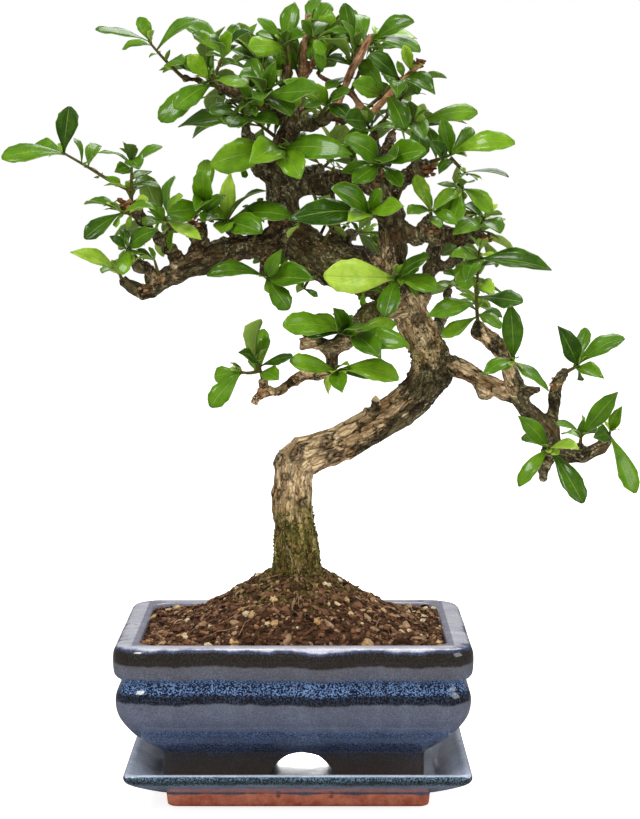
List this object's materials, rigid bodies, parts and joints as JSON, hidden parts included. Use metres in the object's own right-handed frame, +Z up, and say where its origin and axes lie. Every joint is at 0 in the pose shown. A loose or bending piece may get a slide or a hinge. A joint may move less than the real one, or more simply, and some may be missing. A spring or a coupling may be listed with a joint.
{
  "type": "potted bonsai tree",
  "caption": "Small bonsai tree with a crooked trunk, cut-back branches and glossy oval leaves, in a rectangular glazed pot of soil that stands on a matching saucer.",
  "frame": {"origin": "under the middle of the pot, in the plane of the saucer's flat underside, on the surface that it stands on", "axes": "+Z up, +X along the pot's long side to the right as seen from the front, +Y from the front to the back"},
  "size_m": [0.288, 0.1323, 0.3639],
  "materials": {
    "glaze": "gloss",
    "saucer": "gloss",
    "mesh": "matte",
    "soil": "matte",
    "bark": "matte",
    "leaf": "satin"
  },
  "bodies": {
    "root": {"saucer": "saucer", "pot": "glaze", "drain_mesh_left": "mesh", "drain_mesh_right": "mesh", "soil": "soil", "wood": "bark", "spray_back_centre": "leaf", "spray_back_high_right": "leaf", "spray_back_left_high": "leaf", "spray_back_left_low": "leaf", "spray_back_low_right": "leaf", "spray_back_middle": "leaf", "spray_back_right": "leaf", "spray_back_top": "leaf", "spray_centre_big": "leaf", "spray_centre_mid": "leaf", "spray_centre_right": "leaf", "spray_crown_centre": "leaf", "spray_crown_left": "leaf", "spray_hanging_left": "leaf", "spray_left_crown": "leaf", "spray_left_end": "leaf", "spray_left_inner": "leaf", "spray_left_knob_low": "leaf", "spray_left_stick": "leaf", "spray_left_tuft": "leaf", "spray_left_upper": "leaf", "spray_low_centre": "leaf", "spray_low_left": "leaf", "spray_low_mid": "leaf", "spray_mid_big": "leaf", "spray_mid_left": "leaf", "spray_mid_upper": "leaf", "spray_right_far": "leaf", "spray_right_knob": "leaf", "spray_right_low_end": "leaf", "spray_right_low_hanging": "leaf", "spray_right_low_top": "leaf", "spray_right_low_upright": "leaf", "spray_right_mid": "leaf", "spray_right_riser": "leaf", "spray_right_shoot": "leaf", "spray_right_stick": "leaf", "spray_right_upper": "leaf", "spray_riser_side": "leaf", "spray_top_centre": "leaf", "spray_top_left": "leaf", "spray_top_right": "leaf", "spray_upper_left": "leaf", "spray_upper_left_tip": "leaf"}
  },
  "joints": []
}
